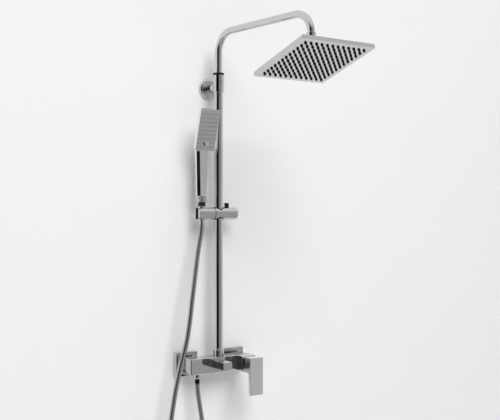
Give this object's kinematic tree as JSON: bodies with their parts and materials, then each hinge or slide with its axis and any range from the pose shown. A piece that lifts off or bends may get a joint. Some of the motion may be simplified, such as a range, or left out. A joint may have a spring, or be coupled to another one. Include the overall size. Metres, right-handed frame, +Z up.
{
  "type": "wall-mounted shower set",
  "caption": "Exposed bar mixer shower with a lever and a diverter, a riser with a telescoping arm and a square rain head, and a hand shower with hose on a sliding holder.",
  "frame": {"origin": "on the wall's surface, midway between the two wall inlets", "axes": "+X to the right along the wall for someone who faces it, +Y into the wall, +Z up"},
  "size_m": [0.3441, 0.5419, 1.4027],
  "materials": {
    "chrome": "polished chrome plate",
    "chrome_plastic": "plastic plated with chrome",
    "steel": "bare steel",
    "brass": "machined",
    "ceramic": "ground ceramic",
    "white_plastic": "moulded",
    "black_plastic": "moulded",
    "black_rubber": "matt"
  },
  "bodies": {
    "base": {"wall_flange_left": "chrome", "wall_flange_right": "chrome", "union_nuts": "chrome", "mixer_body": "chrome", "valve_collar": "chrome", "diverter_base": "chrome", "riser_tube": "chrome", "riser_nut": "chrome", "bracket_rosette": "chrome", "bracket_body": "chrome", "bracket_grub_screw": "chrome", "hose_outlet_nut": "chrome", "shower_hose": "chrome", "eccentric_unions": "brass", "inlet_tailpieces": "brass", "cartridge_nut": "brass", "diverter_gland": "brass", "riser_nipple": "brass", "outlet_nipple": "brass", "ceramic_disc_fixed": "ceramic", "check_valves": "white_plastic", "cartridge_body": "white_plastic", "bracket_ring": "black_plastic", "filter_washers": "black_rubber", "diverter_o_rings": "black_rubber", "riser_seal": "black_rubber", "outlet_washer": "black_rubber"},
    "valve_turret": {"turret": "black_plastic", "ceramic_disc_moving": "ceramic", "stem_pin": "steel"},
    "lever": {"lever_stem": "steel", "lever_handle": "chrome", "lever_grub_screw": "steel"},
    "diverter": {"diverter_core": "brass", "diverter_spindle": "brass", "diverter_knob": "chrome", "diverter_grub_screw": "steel"},
    "arm_carriage": {"arm_bush": "white_plastic", "arm_o_rings": "black_rubber"},
    "arm": {"arm_tube": "chrome", "ball_nipple": "chrome"},
    "ball_collar": {"slip_ring": "white_plastic"},
    "ball_cup": {"ball_seal": "black_rubber"},
    "rain_head": {"head_socket_nut": "chrome", "head_cover": "chrome", "head_face": "chrome", "head_nozzles": "black_rubber"},
    "slider": {"slider_body": "chrome", "slider_bush": "black_plastic", "tilt_washer": "black_plastic", "tilt_screw": "steel", "button_spring": "steel"},
    "brake": {"brake_shoe": "black_plastic"},
    "button": {"slider_button": "black_plastic"},
    "holder": {"holder_cup": "chrome"},
    "handset": {"handset_shell": "chrome_plastic", "handset_face": "chrome_plastic", "handset_nozzles": "black_rubber", "hose_cone_nut": "chrome"},
    "selector": {"selector_button": "black_plastic"}
  },
  "joints": [
    {"name": "lever_turn", "type": "hinge", "parent": "base", "child": "valve_turret", "pos_m": [0.075, -0.082, 0], "axis": [0, -1, 0], "range_deg": [-40, 40]},
    {"name": "lever_lift", "type": "hinge", "parent": "valve_turret", "child": "lever", "pos_m": [0.075, -0.082, 0], "axis": [-1, 0, 0], "range_deg": [0, 22]},
    {"name": "diverter_turn", "type": "hinge", "parent": "base", "child": "diverter", "pos_m": [-0.0123, -0.0968, 0.004], "axis": [0, -1, 0], "range_deg": [0, 90]},
    {"name": "arm_height", "type": "slide", "parent": "base", "child": "arm_carriage", "axis": [0, 0, 1], "range_m": [-0.04, 0.15]},
    {"name": "arm_swivel", "type": "hinge", "parent": "arm_carriage", "child": "arm", "pos_m": [0, -0.0587, 0.8], "axis": [0, 0, 1], "range_deg": [-70, 60]},
    {"name": "head_tilt", "type": "hinge", "parent": "arm", "child": "ball_collar", "pos_m": [0.05385, -0.4106, 0.8187], "axis": [1, 0, 0], "range_deg": [-2, 33]},
    {"name": "head_roll", "type": "hinge", "parent": "ball_collar", "child": "ball_cup", "pos_m": [0.05385, -0.4106, 0.8187], "axis": [0, 0.9617, -0.274], "range_deg": [-15, 15]},
    {"name": "head_spin", "type": "hinge", "parent": "ball_cup", "child": "rain_head", "pos_m": [0.05385, -0.4106, 0.8187], "axis": [0, 0.274, 0.9617], "continuous": true},
    {"name": "slider_slide", "type": "slide", "parent": "base", "child": "slider", "axis": [0, 0, 1], "range_m": [-0.2, 0.28], "deforming": ["shower_hose"]},
    {"name": "button_press", "type": "slide", "parent": "slider", "child": "button", "axis": [0, 0, -1], "range_m": [0, 0.003], "stiffness_N_per_m": 400, "springref_m": -0.003, "deforming": ["button_spring"]},
    {"name": "brake_release", "type": "slide", "parent": "slider", "child": "brake", "axis": [1, 0, 0], "range_m": [0, 0.0006]},
    {"name": "holder_tilt", "type": "hinge", "parent": "slider", "child": "holder", "pos_m": [-0.03, -0.0587, 0.414], "axis": [1, 0, 0], "range_deg": [-8, 35], "deforming": ["shower_hose"]},
    {"name": "handset_lift", "type": "slide", "parent": "holder", "child": "handset", "axis": [0, 0, 1], "range_m": [0, 0.045], "deforming": ["shower_hose"]},
    {"name": "selector_press", "type": "slide", "parent": "handset", "child": "selector", "axis": [0, 0.9563, 0.2924], "range_m": [0, 0.002], "stiffness_N_per_m": 300, "springref_m": -0.003}
  ],
  "couplings": [
    {"joint": "brake_release", "follows": "button_press", "ratio": 0.2}
  ]
}
